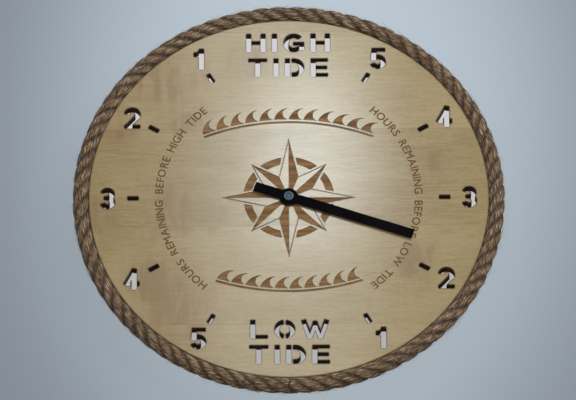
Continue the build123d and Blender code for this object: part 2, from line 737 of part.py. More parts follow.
def make_rotor():
    # A ring magnet turns in the stator's bore, ahead of the pinion
    pinion = gear_face(ROTOR_PINION_TEETH, GOING_MODULE, rotor_turn)
    rotor = train_arbor(rotor_place) + slab(pinion, step_layer_y + GOING_LAYER, step_layer_y, rotor_place)
    magnet_back_y = step_layer_y - LAYER_GAP / 2
    return rotor + rod(MAGNET_DIAMETER, magnet_back_y, magnet_back_y - MAGNET_LENGTH, rotor_place)


# Stepping motor and circuit
def post_corners(back_y, front_y):
    # Room for the four screw posts, cut out as square corners of the wheel bay
    half = POST_DIAMETER / 2 + COVER_CLEARANCE
    corners = []
    for index, (x, z) in enumerate(post_places):
        x_range = (x - half, inner_half) if x > 0 else (-inner_half, x + half)
        z_range = (z - half, inner_half) if index < 2 else (partition_top_z, z + half)
        corners.append(block(x_range, (front_y, back_y), z_range))
    return corners


coil_right_x = COIL_LEFT_X + COIL_LENGTH
arm_left_x = COIL_LEFT_X - CORE_OVERHANG / 2
arm_right_x = coil_right_x + CORE_OVERHANG / 2
stator_corner = (arm_left_x, ROTOR_Z + STATOR_ARM_WIDTH)
pillar_places = [stator_corner, (arm_right_x, (COIL_Z + ROTOR_Z + STATOR_ARM_WIDTH) / 2)]


def make_stator():
    # Two arms bring the coil's field to a bore round the magnet
    bore = MAGNET_DIAMETER / 2 + STATOR_BORE_GAP
    face = Sketch() + [
        bar((arm_left_x, COIL_Z), stator_corner, STATOR_ARM_WIDTH),
        bar(stator_corner, (ROTOR_X, ROTOR_Z + STATOR_ARM_WIDTH / 2), STATOR_ARM_WIDTH),
        bar((arm_right_x, COIL_Z), (arm_right_x, ROTOR_Z), STATOR_ARM_WIDTH),
        Pos(*rotor_place) * Circle(bore + STATOR_RING_WIDTH),
    ]
    face -= Pos(*rotor_place) * Circle(bore)
    notches = Sketch() + PolarLocations(bore, 2) * Circle(STATOR_NOTCH)
    return slab(face - Pos(*rotor_place) * notches, stator_y + STATOR_THICKNESS, stator_y)


def make_coil_core():
    x_range = (COIL_LEFT_X - CORE_OVERHANG, coil_right_x + CORE_OVERHANG)
    z_range = (COIL_Z - CORE_WIDTH / 2, COIL_Z + CORE_WIDTH / 2)
    return block(x_range, (core_y, core_y + CORE_THICKNESS), z_range)


def along_coil(diameter, left_x, right_x):
    plane = Plane(origin=(left_x, coil_axis_y, COIL_Z), x_dir=(0, 1, 0), z_dir=(1, 0, 0))
    return extrude(plane * Circle(diameter / 2), amount=right_x - left_x)


core_diagonal = hypot(CORE_WIDTH, CORE_THICKNESS)
coil_tube_diameter = core_diagonal + 2 * (COIL_TUBE_WALL + CORE_CLEARANCE)


def make_coil_bobbin():
    bobbin = along_coil(coil_tube_diameter, COIL_LEFT_X, coil_right_x)
    bobbin += along_coil(COIL_FLANGE_DIAMETER, COIL_LEFT_X, COIL_LEFT_X + COIL_FLANGE_THICKNESS)
    bobbin += along_coil(COIL_FLANGE_DIAMETER, coil_right_x - COIL_FLANGE_THICKNESS, coil_right_x)
    half_width = CORE_WIDTH / 2 + CORE_CLEARANCE
    half_thick = CORE_THICKNESS / 2 + CORE_CLEARANCE
    return bobbin - block(
        (COIL_LEFT_X - OVERRUN, coil_right_x + OVERRUN),
        (coil_axis_y - half_thick, coil_axis_y + half_thick),
        (COIL_Z - half_width, COIL_Z + half_width),
    )


def make_coil_winding():
    left_x, right_x = COIL_LEFT_X + COIL_FLANGE_THICKNESS, coil_right_x - COIL_FLANGE_THICKNESS
    return along_coil(COIL_DIAMETER, left_x, right_x) - along_coil(coil_tube_diameter, left_x, right_x)


board_left_x = -inner_half + BOARD_EDGE_GAP
board_bottom_z = partition_top_z + CONTACT_THICKNESS + BOARD_EDGE_GAP
board_right_x = board_left_x + BOARD_WIDTH
board_top_z = board_bottom_z + BOARD_HEIGHT
board_middle_x = (board_left_x + board_right_x) / 2


def make_circuit_board():
    board = block(
        (board_left_x, board_right_x), (plate_back_y, board_back_y), (board_bottom_z, board_top_z)
    )
    return board - post_corners(board_back_y + OVERRUN, plate_back_y - OVERRUN)


def make_chip_cap():
    place = (board_middle_x, board_bottom_z + CHIP_HEIGHT_SHARE * BOARD_HEIGHT)
    blob = rod(CHIP_DIAMETER, board_back_y + CHIP_HEIGHT, board_back_y, place)
    rim = blob.edges().filter_by(GeomType.CIRCLE).sort_by(Axis.Y)[-1]
    return fillet(rim, CHIP_HEIGHT / 2)


def make_quartz_crystal():
    middle_z = board_bottom_z + CRYSTAL_HEIGHT_SHARE * BOARD_HEIGHT
    origin = (board_middle_x - CRYSTAL_LENGTH / 2, board_back_y + CRYSTAL_DIAMETER / 2, middle_z)
    plane = Plane(origin=origin, x_dir=(0, 1, 0), z_dir=(1, 0, 0))
    return extrude(plane * Circle(CRYSTAL_DIAMETER / 2), amount=CRYSTAL_LENGTH)


def make_coil_leads():
    # Two ends of the winding, from the bobbin's flange down to pads on the board
    leads = []
    for side in (-1, 1):
        pad_z = board_top_z - LEAD_PAD_INSET + side * LEAD_INSET
        flange_z = COIL_Z + side * (COIL_FLANGE_DIAMETER / 2 - LEAD_INSET)
        start = Vector(board_right_x - LEAD_PAD_INSET, board_back_y + LEAD_DIAMETER / 2, pad_z)
        end = Vector(COIL_LEFT_X, coil_axis_y + LEAD_RISE, flange_z)
        run = end - start
        leads.append(extrude(Plane(origin=start, z_dir=run) * Circle(LEAD_DIAMETER / 2), amount=run.length))
    return Compound(leads)


# Case
def make_bearing_plate():
    reach = inner_half - COVER_CLEARANCE
    plate = block((-reach, reach), (bearing_plate_y, plate_back_y), (wheel_bay_bottom_z, reach))
    past_y = plate_back_y + OVERRUN
    ahead_y = bearing_plate_y - OVERRUN
    plate -= post_corners(past_y, ahead_y)
    for place in train_places:
        plate -= rod(PIVOT_DIAMETER + 2 * PIVOT_CLEARANCE, past_y, ahead_y, place)
    for place in (centre_place, motion_place):
        plate -= rod(CENTRE_ARBOR_DIAMETER + 2 * PIVOT_CLEARANCE, past_y, ahead_y, place)
    for place in pillar_places:
        plate += rod(STATOR_ARM_WIDTH, stator_y, plate_back_y, place)
    return plate


def make_case_tray():
    side = RectangleRounded(CASE_SIDE, CASE_SIDE, CASE_CORNER_ROUND)
    tray = slab(side, 0, case_front_y)
    eye_z = CASE_SIDE / 2 + EYE_RISE
    eye_outer = EYE_HOLE_DIAMETER / 2 + EYE_RIM
    eye_face = (Pos(0, eye_z) * Circle(eye_outer)) + butt_bar((0, 0), (0, eye_z), 2 * eye_outer)
    tray += slab(eye_face, 0, -EYE_THICKNESS)
    inner = RectangleRounded(2 * inner_half, 2 * inner_half, CASE_CORNER_ROUND - CASE_WALL)
    tray -= slab(inner, OVERRUN, floor_y)
    partition_z = (partition_top_z - PARTITION_THICKNESS, partition_top_z)
    tray += block((-inner_half, inner_half), (floor_y, cover_inner_y), partition_z)
    slot = CONTACT_THICKNESS + COVER_CLEARANCE
    for side_x in (-1, 1):
        wall_x = side_x * inner_half
        x_range = sorted((wall_x - side_x * slot, wall_x))
        tray -= block(x_range, (cell_axis_y - CONTACT_WIDTH / 2 - COVER_CLEARANCE, OVERRUN), partition_z)
    for place in post_places:
        tray += rod(POST_DIAMETER, cover_inner_y - POST_WASHER_GAP, floor_y, place)
        tray -= rod(SCREW_DIAMETER, OVERRUN, cover_inner_y - SCREW_LENGTH, place)
    tray -= rod(PIVOT_DIAMETER + 2 * PIVOT_CLEARANCE, floor_y + OVERRUN, floor_y - PIVOT_DEPTH, motion_place)
    tray -= rod(EYE_HOLE_DIAMETER, OVERRUN, -EYE_THICKNESS - OVERRUN, (0, eye_z))
    flange_seat = rod(BUSH_FLANGE_DIAMETER, floor_y + OVERRUN, floor_y - BUSH_FLANGE_THICKNESS / 2)
    return tray - flange_seat - rod(BUSH_DIAMETER, floor_y, case_front_y - OVERRUN)


def make_case_cover():
    # Closes the wheel bay, carries the rear pivots and holds the sunk setting knob
    reach = inner_half - COVER_CLEARANCE
    height = reach - wheel_bay_bottom_z
    middle = (0, (reach + wheel_bay_bottom_z) / 2)
    corner_round = CASE_CORNER_ROUND - CASE_WALL
    cover = slab(RectangleRounded(2 * reach, height, corner_round), 0, cover_inner_y, middle)
    well_bore = KNOB_DIAMETER + 2 * KNOB_RING_GAP
    well_floor_y = -KNOB_SUNK - KNOB_THICKNESS - PIVOT_END_GAP
    well_front_y = well_floor_y - KNOB_WELL_WALL
    cover += rod(well_bore + 2 * KNOB_WELL_WALL, 0, well_front_y, motion_place)
    cover -= rod(well_bore, OVERRUN, well_floor_y, motion_place)
    cover -= rod(CENTRE_ARBOR_DIAMETER + 2 * PIVOT_CLEARANCE, OVERRUN, well_front_y - OVERRUN, motion_place)
    pivot_bore = PIVOT_DIAMETER + 2 * PIVOT_CLEARANCE
    for place in [centre_place] + train_places:
        cover -= rod(pivot_bore, cover_inner_y + PIVOT_DEPTH, cover_inner_y - OVERRUN, place)
    for place in post_places:
        cover -= rod(SCREW_DIAMETER + 2 * COVER_CLEARANCE, OVERRUN, cover_inner_y - OVERRUN, place)
        cover -= rod(SCREW_HEAD_DIAMETER + 2 * COVER_CLEARANCE, OVERRUN, -SCREW_HEAD_THICKNESS, place)
    return cover


def make_cover_screws():
    screws = []
    for place in post_places:
        screw = rod(SCREW_HEAD_DIAMETER, 0, -SCREW_HEAD_THICKNESS, place)
        screw += rod(SCREW_DIAMETER, -SCREW_HEAD_THICKNESS, cover_inner_y - SCREW_LENGTH, place)
        slot = Rectangle(SCREW_HEAD_DIAMETER + OVERRUN, SCREW_SLOT_WIDTH)
        screws.append(screw - slab(slot, OVERRUN, -SCREW_SLOT_DEPTH, place))
    return Compound(screws)


# Battery and its contacts. The cell's nub points right.
positive_face_x = inner_half - CONTACT_THICKNESS
cell_right_x = positive_face_x - CELL_NUB_LENGTH
cell_left_x = cell_right_x - CELL_LENGTH


def along_cell(diameter, left_x, right_x):
    plane = Plane(origin=(left_x, cell_axis_y, cell_z), x_dir=(0, 1, 0), z_dir=(1, 0, 0))
    return extrude(plane * Circle(diameter / 2), amount=right_x - left_x)


def make_battery_cell():
    can = along_cell(CELL_DIAMETER, cell_left_x, cell_right_x)
    can = fillet(can.edges().filter_by(GeomType.CIRCLE), CELL_EDGE_ROUND)
    return can + along_cell(CELL_NUB_DIAMETER, cell_right_x, positive_face_x)


contact_y_range = (cell_axis_y - CONTACT_WIDTH / 2, cell_axis_y + CONTACT_WIDTH / 2)


def contact_tail(end_x, side_x):
    # Up the end wall, over the partition, along it and on to the board's copper pad
    wall_x = side_x * inner_half
    upright_x = sorted((wall_x, wall_x - side_x * CONTACT_THICKNESS))
    tail = block(upright_x, contact_y_range, (cell_z, partition_top_z + CONTACT_THICKNESS))
    run_x = sorted((wall_x, end_x))
    run_y = (contact_y_range[0], contact_y_range[0] + CONTACT_TAIL_WIDTH)
    tail += block(run_x, run_y, (partition_top_z, partition_top_z + CONTACT_THICKNESS))
    pad_x = (end_x - CONTACT_TAIL_WIDTH / 2, end_x + CONTACT_TAIL_WIDTH / 2)
    riser_y = (board_back_y, contact_y_range[0] + CONTACT_TAIL_WIDTH)
    tail += block(pad_x, riser_y, (partition_top_z, partition_top_z + CONTACT_THICKNESS))
    pad_z = (partition_top_z, board_bottom_z + CONTACT_TAIL_WIDTH)
    return tail + block(pad_x, (board_back_y, board_back_y + CONTACT_THICKNESS), pad_z)


def make_positive_contact():
    plate_z = (cell_z - CONTACT_WIDTH / 2, cell_z)
    plate = block((positive_face_x, inner_half), contact_y_range, plate_z)
    return plate + contact_tail(board_right_x - CONTACT_TAIL_WIDTH, 1)


def make_negative_contact():
    # A bowed leaf presses on the flat end of the cell
    outline = Polyline(
        (-inner_half, cell_z + LEAF_SPAN / 2),
        (-inner_half + CONTACT_THICKNESS, cell_z + LEAF_SPAN / 2),
        (cell_left_x, cell_z + CONTACT_WIDTH / 4),
        (cell_left_x, cell_z - CONTACT_WIDTH / 4),
        (-inner_half + CONTACT_THICKNESS, cell_z - LEAF_SPAN / 2),
        (-inner_half, cell_z - LEAF_SPAN / 2),
        (cell_left_x - CONTACT_THICKNESS, cell_z - CONTACT_WIDTH / 4),
        (cell_left_x - CONTACT_THICKNESS, cell_z + CONTACT_WIDTH / 4),
        close=True,
    )
    leaf = slab(make_face(outline), contact_y_range[1], contact_y_range[0])
    return leaf + contact_tail(-post_reach + POST_DIAMETER / 2 + CONTACT_TAIL_WIDTH, -1)


PIECES = {
    "dial_plate": make_dial_plate,
    "rope_trim": make_rope_trim,
    "rubber_gasket": make_rubber_gasket,
    "threaded_bush": make_threaded_bush,
    "brass_washer": make_brass_washer,
    "fixing_nut": make_fixing_nut,
    "tide_hand": make_tide_hand,
    "hand_collet": make_hand_collet,
    "hand_cap": make_hand_cap,
    "tide_wheel": make_tide_wheel,
    "motion_wheel": make_motion_wheel,
    "setting_knob": make_setting_knob,
    "cannon_pinion": make_cannon_pinion,
    "clutch_wheel": make_clutch_wheel,
    "third_wheel": make_third_wheel,
    "second_wheel": make_second_wheel,
    "step_wheel": make_step_wheel,
    "rotor": make_rotor,
    "stator": make_stator,
    "coil_core": make_coil_core,
    "coil_bobbin": make_coil_bobbin,
    "coil_winding": make_coil_winding,
    "coil_leads": make_coil_leads,
    "circuit_board": make_circuit_board,
    "chip_cap": make_chip_cap,
    "quartz_crystal": make_quartz_crystal,
    "bearing_plate": make_bearing_plate,
    "case_tray": make_case_tray,
    "case_cover": make_case_cover,
    "cover_screws": make_cover_screws,
    "battery_cell": make_battery_cell,
    "positive_contact": make_positive_contact,
    "negative_contact": make_negative_contact,
}

os.makedirs("parts", exist_ok=True)
for name, make in PIECES.items():
    export_step(make(), os.path.join("parts", name + ".step"))
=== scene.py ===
import bpy
import bmesh
import math
import random
from mathutils import Matrix, Vector


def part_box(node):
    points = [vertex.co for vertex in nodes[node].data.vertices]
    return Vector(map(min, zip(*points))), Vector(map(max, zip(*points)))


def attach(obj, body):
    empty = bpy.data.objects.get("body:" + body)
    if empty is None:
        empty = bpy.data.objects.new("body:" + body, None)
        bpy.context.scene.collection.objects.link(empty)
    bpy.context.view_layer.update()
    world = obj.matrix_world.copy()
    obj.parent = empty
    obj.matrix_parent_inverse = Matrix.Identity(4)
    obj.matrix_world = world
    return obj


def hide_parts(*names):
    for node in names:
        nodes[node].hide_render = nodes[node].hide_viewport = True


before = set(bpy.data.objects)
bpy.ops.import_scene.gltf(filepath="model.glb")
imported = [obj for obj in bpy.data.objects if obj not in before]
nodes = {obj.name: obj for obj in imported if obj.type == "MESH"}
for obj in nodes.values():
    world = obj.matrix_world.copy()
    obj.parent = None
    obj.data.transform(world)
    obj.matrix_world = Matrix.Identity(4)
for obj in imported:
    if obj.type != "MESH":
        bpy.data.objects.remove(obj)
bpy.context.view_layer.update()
mm = 0.001
fullTurn = 2 * math.pi
dialLow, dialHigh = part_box("dial_plate")
dialFront = dialLow.y          # the dial looks along -Y
dialBack = dialHigh.y
dialRadius = (dialHigh.x - dialLow.x) / 2
print("frame loaded, dial radius", round(dialRadius / mm, 1), "mm")


def putInScene(name, data):
    held = bpy.data.objects.new(name, data)
    bpy.context.scene.collection.objects.link(held)
    return held


def dress(piece, material):
    piece.data.materials.clear()
    piece.data.materials.append(material)


def addPiece(name, mesh, material):
    piece = putInScene(name, mesh)
    dress(piece, material)
    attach(piece, "clock_body")
    return piece


def smoothShade(mesh, angle):
    for face in mesh.polygons:
        face.use_smooth = True
    mesh.set_sharp_from_angle(angle=math.radians(angle))


def meshFromShell(shell, name):
    mesh = bpy.data.meshes.new(name)
    shell.to_mesh(mesh)
    shell.free()
    return mesh


def meshFromCurve(curveData, name):
    holder = putInScene(name, curveData)
    bpy.context.view_layer.update()
    mesh = bpy.data.meshes.new_from_object(holder.evaluated_get(bpy.context.evaluated_depsgraph_get()))
    bpy.data.objects.remove(holder)
    bpy.data.curves.remove(curveData)
    return mesh


# one wrapped socket: numbers and sockets mix freely in sums
class Sock:
    def __init__(self, finish, socket):
        self.finish, self.socket = finish, socket

    def maths(self, operation, other=0.0):
        return self.finish.add("Math", {"operation": operation}, {0: self, 1: other})

    def __add__(self, other):
        return self.maths("ADD", other)

    def __sub__(self, other):
        return self.maths("SUBTRACT", other)

    def __rsub__(self, other):
        return self.finish.add("Math", {"operation": "SUBTRACT"}, {0: other, 1: self})

    def __mul__(self, other):
        return self.maths("MULTIPLY", other)

    def __truediv__(self, other):
        return self.maths("DIVIDE", other)

    def __pow__(self, other):
        return self.maths("POWER", other)

    __radd__ = __add__
    __rmul__ = __mul__

    def between(self, low, high):
        ends = {"Value": self, "From Min": low, "From Max": high}
        return self.finish.add("MapRange", {"interpolation_type": "SMOOTHSTEP"}, ends)


def distance(first, second):
    return (first ** 2.0 + second ** 2.0) ** 0.5


class Finish:
    def __init__(self, name):
        self.material = bpy.data.materials.new(name)
        self.material.use_nodes = True
        self.tree = self.material.node_tree
        self.tree.nodes.clear()
        self.out = self.tree.nodes.new("ShaderNodeOutputMaterial")

    def add(self, kind, settings=None, inputs=None, out=0):
        node = self.tree.nodes.new("ShaderNode" + kind)
        for key, value in (settings or {}).items():
            if key == "stops":
                ramp = node.color_ramp.elements
                while len(ramp) < len(value):
                    ramp.new(0.5)
                for stop, (place, colour) in zip(ramp, value):
                    stop.position, stop.color = place, (*colour, 1.0)
            else:
                setattr(node, key, value)
        for key, value in (inputs or {}).items():
            if isinstance(value, Sock):
                self.tree.links.new(value.socket, node.inputs[key])
            else:
                node.inputs[key].default_value = value
        return Sock(self, node.outputs[out])

    def spot(self):
        return self.add("TexCoord", out=3)

    def facing(self):
        return self.add("TexCoord", out=1)

    def split(self, vector):
        parts = self.add("SeparateXYZ", inputs={0: vector})
        return [Sock(self, part) for part in parts.socket.node.outputs]

    def vector(self, x, y, z):
        return self.add("CombineXYZ", inputs={0: x, 1: y, 2: z})

    def noise(self, vector, scale, detail=3.0, rough=0.55, warp=0.0):
        return self.add("TexNoise", inputs={
            "Vector": vector, "Scale": scale, "Detail": detail, "Roughness": rough, "Distortion": warp,
        })

    def mix(self, share, first, second):
        first, second = (c if isinstance(c, Sock) else (*c, 1.0) for c in (first, second))
        return self.add("Mix", {"data_type": "RGBA"}, {0: share, 6: first, 7: second}, out=2)

    def ramp(self, value, stops):
        return self.add("ValToRGB", {"stops": stops}, {0: value})

    def bump(self, height, depth, strength):
        return self.add("Bump", inputs={"Strength": strength, "Distance": depth, "Height": height})

    def shade(self, inputs):
        return self.finish(self.add("BsdfPrincipled", inputs=inputs))

    def finish(self, shader):
        self.tree.links.new(shader.socket, self.out.inputs["Surface"])
        return self.material


# camera: a long lens low in front, which turns the round dial into the photograph's oval
cameraSet = {
    "below": 27.0,            # degrees under the dial's axis
    "distance": 9.0,
    "roll": 0.28,             # degrees clockwise
    "pixel": 0.7495 * mm,     # metres across one pixel at the dial
    "wide": 576,
    "dialAt": (288.8, 197.6),
    "middle": (288.0, 200.0),
    "sensor": 36.0,
    "clip": (0.05, 100.0),
}


def setCamera():
    low = math.radians(cameraSet["below"])
    towards = Vector((0, math.cos(low), math.sin(low)))
    level = Vector((1, 0, 0))
    rise = level.cross(towards)
    roll = math.radians(cameraSet["roll"])
    up = rise * math.cos(roll) + level * math.sin(roll)
    right = level * math.cos(roll) - rise * math.sin(roll)
    shiftRight, shiftDown = (
        (middle - dial) * cameraSet["pixel"] for middle, dial in zip(cameraSet["middle"], cameraSet["dialAt"])
    )
    target = Vector((0, dialFront, 0)) + right * shiftRight - up * shiftDown
    data = bpy.data.cameras.new("dialCamera")
    data.sensor_width = cameraSet["sensor"]
    data.lens = cameraSet["sensor"] * cameraSet["distance"] / (cameraSet["wide"] * cameraSet["pixel"])
    data.clip_start, data.clip_end = cameraSet["clip"]
    camera = putInScene("dialCamera", data)
    turn = Matrix((right, up, -towards)).transposed().to_4x4()
    camera.matrix_world = Matrix.Translation(target - towards * cameraSet["distance"]) @ turn
    bpy.context.scene.camera = camera


setCamera()
print("camera set")

# dial: varnished maple staves, burnt engraving and laser-cut edges
mapleSet = {
    "stave": 82 * mm,
    "staveStart": -106 * mm,
    "deep": (0.250, 0.172, 0.070),
    "mid": (0.325, 0.238, 0.108),
    "pale": (0.385, 0.294, 0.150),
    "stops": (0.34, 0.50, 0.66),            # where deep, mid and pale wood lie on the grain
    # features in a metre along and across the stave, jump from stave to stave, bend by the wander,
    # detail, roughness and warp
    "grains": {
        "wander": (4.0, 10.0, 3.1, 0.0, 2.0, 0.55, 0.0),
        "lines": (55.0, 620.0, 5.3, 3.5, 3.0, 0.60, 0.0),
        "streak": (12.0, 85.0, 7.7, 2.5, 2.0, 0.50, 0.0),
        "cloud": (16.0, 20.0, 1.0, 0.0, 3.0, 0.55, 0.0),
        "mottle": (260.0, 480.0, 1.0, 0.0, 2.0, 0.50, 0.0),
        "pores": (60.0, 900.0, 1.0, 0.0, 2.0, 0.50, 0.0),
        "curl": (95.0, 22.0, 1.0, 3.0, 2.0, 0.50, 0.6),
        "ragged": (22.0, 30.0, 2.0, 0.0, 3.0, 0.60, 0.0),
        "burnt": (9.0, 240.0, 1.0, 5.0, 3.0, 0.60, 0.0),
    },
    "shares": {"lines": 0.34, "mottle": 0.20, "streak": 0.12, "cloud": 0.34},
    "toneShare": 0.14,                      # how much one stave differs from the next
    "toneSeed": 3.7,
    "poreEnds": (0.34, 0.24),
    "poreShare": 0.35,
    "heart": (0.245, 0.146, 0.066),         # brown heartwood, in patches of x, z and size in millimetres
    "patches": (
        (-93, 92, 40), (-132, 66, 22), (-74, 66, 22), (-86, -8, 30), (-96, -70, 34), (-80, -100, 40),
        (-138, -18, 24), (-62, -14, 20), (92, -54, 22), (104, 30, 16), (-30, 118, 24),
    ),
    "patchCore": 0.25,
    "patchStray": 50 * mm,                  # how far a patch's ragged edge strays
    "curlEnds": (0.38, 0.62),
    "curlShare": 0.50,
    "heartShare": 0.22,
    "jointEnds": (0.4955, 0.4985),
    "jointShare": (0.15, 0.55),             # a glue line shows everywhere, and more at the left
    "jointFade": (10 * mm, -70 * mm),
    "faceEnds": (0.45, 0.75),
    "engraved": (0.12 * mm, 0.2 * mm, 0.8 * mm, 1.0 * mm),     # depths between which floors are burnt
    "rim": (1.2 * mm, 0.8 * mm),            # the outer edge isn't cut by the laser
    "burnt": (0.285, 0.160, 0.070),
    "burntDeep": (0.155, 0.082, 0.034),
    "burntEnds": (0.35, 0.65),
    # scorched lines along the cuts, and painted shade along the rim next to the rope
    "scorchShade": (0.042, 0.022, 0.010),
    "scorchShadeWide": 1.5 * mm,
    "scorchShadeEnds": (0.88, 0.62),
    "scorchShadeShare": 0.85,
    "char": (0.062, 0.033, 0.016),
    "soot": (0.150, 0.084, 0.040),
    "sootScale": (400.0, 120.0, 400.0),
    "sootEnds": (0.4, 0.75),
    "polish": (0.42, 0.14),                 # roughness of the varnish, and how much it varies
    "bare": 0.8,
    "coat": 0.6,
}


def makeMaple():
    f = Finish("mapleVarnished")
    spot = f.spot()
    x, y, z = f.split(spot)
    ny = f.split(f.facing())[1]
    staveAt = (z - mapleSet["staveStart"]) / mapleSet["stave"]
    stave = staveAt.maths("FLOOR")
    tone = f.add("TexWhiteNoise", {"noise_dimensions": "1D"}, {"W": stave + mapleSet["toneSeed"]})
    grain = {}
    for name, (along, across, jump, bend, detail, rough, warp) in mapleSet["grains"].items():
        rise = z * across + grain["wander"] * bend if bend else z * across
        grain[name] = f.noise(f.vector(x * along, stave * jump, rise), 1.0, detail, rough, warp)
    figure = (tone - 0.5) * mapleSet["toneShare"]
    for name, share in mapleSet["shares"].items():
        figure = figure + grain[name] * share
    shades = (mapleSet["deep"], mapleSet["mid"], mapleSet["pale"])
    wood = f.ramp(figure, list(zip(mapleSet["stops"], shades)))
    pore = grain["pores"].between(*mapleSet["poreEnds"])
    wood = f.mix(pore * mapleSet["poreShare"], wood, mapleSet["deep"])
    # brown heartwood and curl in soft patches
    stray = (grain["ragged"] - 0.5) * mapleSet["patchStray"]
    heart = None
    for px, pz, size in mapleSet["patches"]:
        away = distance(x - px * mm, z - pz * mm) + stray
        patch = away.between(size * mm, size * mapleSet["patchCore"] * mm)
        heart = patch if heart is None else heart.maths("MAXIMUM", patch)
    curled = heart * grain["curl"].between(*mapleSet["curlEnds"])
    wood = f.mix(curled * mapleSet["curlShare"] + heart * mapleSet["heartShare"], wood, mapleSet["heart"])
    joint = (staveAt.maths("FRACT") - 0.5).maths("ABSOLUTE").between(*mapleSet["jointEnds"])
    jointLeast, jointMore = mapleSet["jointShare"]
    jointDark = jointLeast + x.between(*mapleSet["jointFade"]) * jointMore
    wood = f.mix(joint * jointDark, wood, mapleSet["heart"])
    # engraved floors lie under the front face, cut walls face sideways
    depth = y - dialFront
    faceOn = (0.0 - ny).between(*mapleSet["faceEnds"])
    backOn = ny.between(*mapleSet["faceEnds"])
    shallow, burntFrom, burntTo, deepest = mapleSet["engraved"]
    floorOn = faceOn * depth.between(shallow, burntFrom) * (1.0 - depth.between(burntTo, deepest))
    rimStart, rimFull = mapleSet["rim"]
    inside = 1.0 - distance(x, z).between(dialRadius - rimStart, dialRadius - rimFull)
    wallOn = (1.0 - faceOn) * (1.0 - backOn) * inside
    burnt = f.mix(grain["burnt"].between(*mapleSet["burntEnds"]), mapleSet["burntDeep"], mapleSet["burnt"])
    colour = f.mix(floorOn, wood, burnt)
    # the laser leaves a thin scorched line along every cut; the occlusion mask that draws it also paints
    # shade along the rim, where the wood meets the rope
    open_ = f.add(
        "AmbientOcclusion", {"inside": True, "only_local": True, "samples": 8},
        {"Distance": mapleSet["scorchShadeWide"]}, out=1,
    )
    scorchShadeMask = faceOn * open_.between(*mapleSet["scorchShadeEnds"])
    colour = f.mix(scorchShadeMask * mapleSet["scorchShadeShare"], colour, mapleSet["scorchShade"])
    sootX, sootY, sootZ = mapleSet["sootScale"]
    soot = f.noise(f.vector(x * sootX, y * sootY, z * sootZ), 1.0, 2.0)
    char = f.mix(soot.between(*mapleSet["sootEnds"]) * 0.5, mapleSet["char"], mapleSet["soot"])
    colour = f.mix(wallOn, colour, char)
    varnished = (1.0 - floorOn - wallOn).maths("MAXIMUM", 0.0)
    polish, unevenness = mapleSet["polish"]
    gloss = polish + f.noise(spot, 45.0, 3.0) * unevenness
    rough = gloss * varnished + (1.0 - varnished) * mapleSet["bare"]
    height = grain["lines"] * 0.5 + grain["pores"] * 0.3 + (floorOn + wallOn) * grain["burnt"]
    return f.shade({
        "Base Color": colour, "Roughness": rough, "Coat Weight": varnished * mapleSet["coat"],
        "Coat Roughness": 0.15, "Specular IOR Level": 0.06, "Normal": f.bump(height, 0.05 * mm, 0.3),
    })


dress(nodes["dial_plate"], makeMaple())
print("dial done")

# rope: three laid strands glued round the rim, ends butted at the foot
ropeSet = {
    "strands": 3,
    "turns": 25,
    "wander": 0.55,           # the lay is a little longer in some places than in others
    "wanderWaves": 3,
    "strand": 3.9 * mm,       # strands press into each other
    "sunk": 0.05 * mm,
    "swell": (0.02, 0.1),     # how fast a strand's size strays, and how fast it comes back
    "yarns": 19,
    "yarnPoints": 3,
    "yarnDepth": 0.32 * mm,
    "yarnTwist": -0.6,        # turns back against the lay, so that the yarns run along the rope
    "steps": 28,              # points in one turn of lay
    "gap": 0.9 * mm,
    "smooth": 75,
    # palest fibres, partly painted glints
    "bleachedGlint": (0.560, 0.435, 0.315),
    "straw": (0.272, 0.176, 0.095),
    "hemp": (0.101, 0.053, 0.024),
    "shadow": (0.034, 0.018, 0.009),
    "stops": (0.08, 0.38, 0.64, 0.84),      # where shadow, hemp, straw and the palest fibres lie on the fibres; the palest partly stand for painted glints
    "fibre": (140.0, 11.0, 900.0),          # features along, round and through the rope
    "fibreSlant": 30.0,
    "fibreEnds": (0.32, 0.68),
    "bundle": (90.0, 4.0, 300.0),
    "stain": 38.0,
    "shares": (0.70, 0.18, 0.12),           # of fibre, bundle and stain
    "grooveShade": (0.985, 0.80),                # shares of the rope's radius where the painted shade of a groove starts and is full
    "grooveShadeShare": (0.40, 0.75),
    "hairs": 3400,
    "hairThick": 0.08 * mm,
    "hairShort": (3.0 * mm, 8.5 * mm),
    "hairLong": (8 * mm, 15 * mm),
    "hairShortShare": 0.85,
    "hairOut": (-2.4, 2.4),                 # where hairs stand, in radians round the rope from its outer side
    "hairFront": (-3.1, -1.2),
    "hairOutShare": 0.75,
    "hairLean": (0.4, 1.0),
    "hairRise": (0.05, 0.42),
    "hairBend": (-0.5, 0.5),
    "hairRoot": 0.94,
    "hairPoints": 5,
    "hairEnd": 0.01,                        # hairs keep off the butted ends, in radians round the rim
    "beadFill": 2.6 * mm,
    "beadInset": 0.6 * mm,                  # how far the bead of glue keeps from both faces of the dial
    "beadClear": 0.02 * mm,
    "beadSteps": 240,
    # share of painted shade on the bead of glue by the rim
    "beadShade": 0.6,
}
ropeLow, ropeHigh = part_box("rope_trim")
ropeRadius = (ropeHigh.y - ropeLow.y) / 2
ropeMid = (ropeHigh.y + ropeLow.y) / 2
ropeRing = (ropeHigh.x - ropeLow.x) / 2 - ropeRadius
chance = random.Random(41)


def ropePoint(turn, twist, reach):
    # turn runs anticlockwise from the foot, twist goes round the rope's own middle
    out = ropeRing + reach * math.cos(twist)
    angle = turn - math.pi / 2
    return Vector((out * math.cos(angle), ropeMid + reach * math.sin(twist), out * math.sin(angle)))


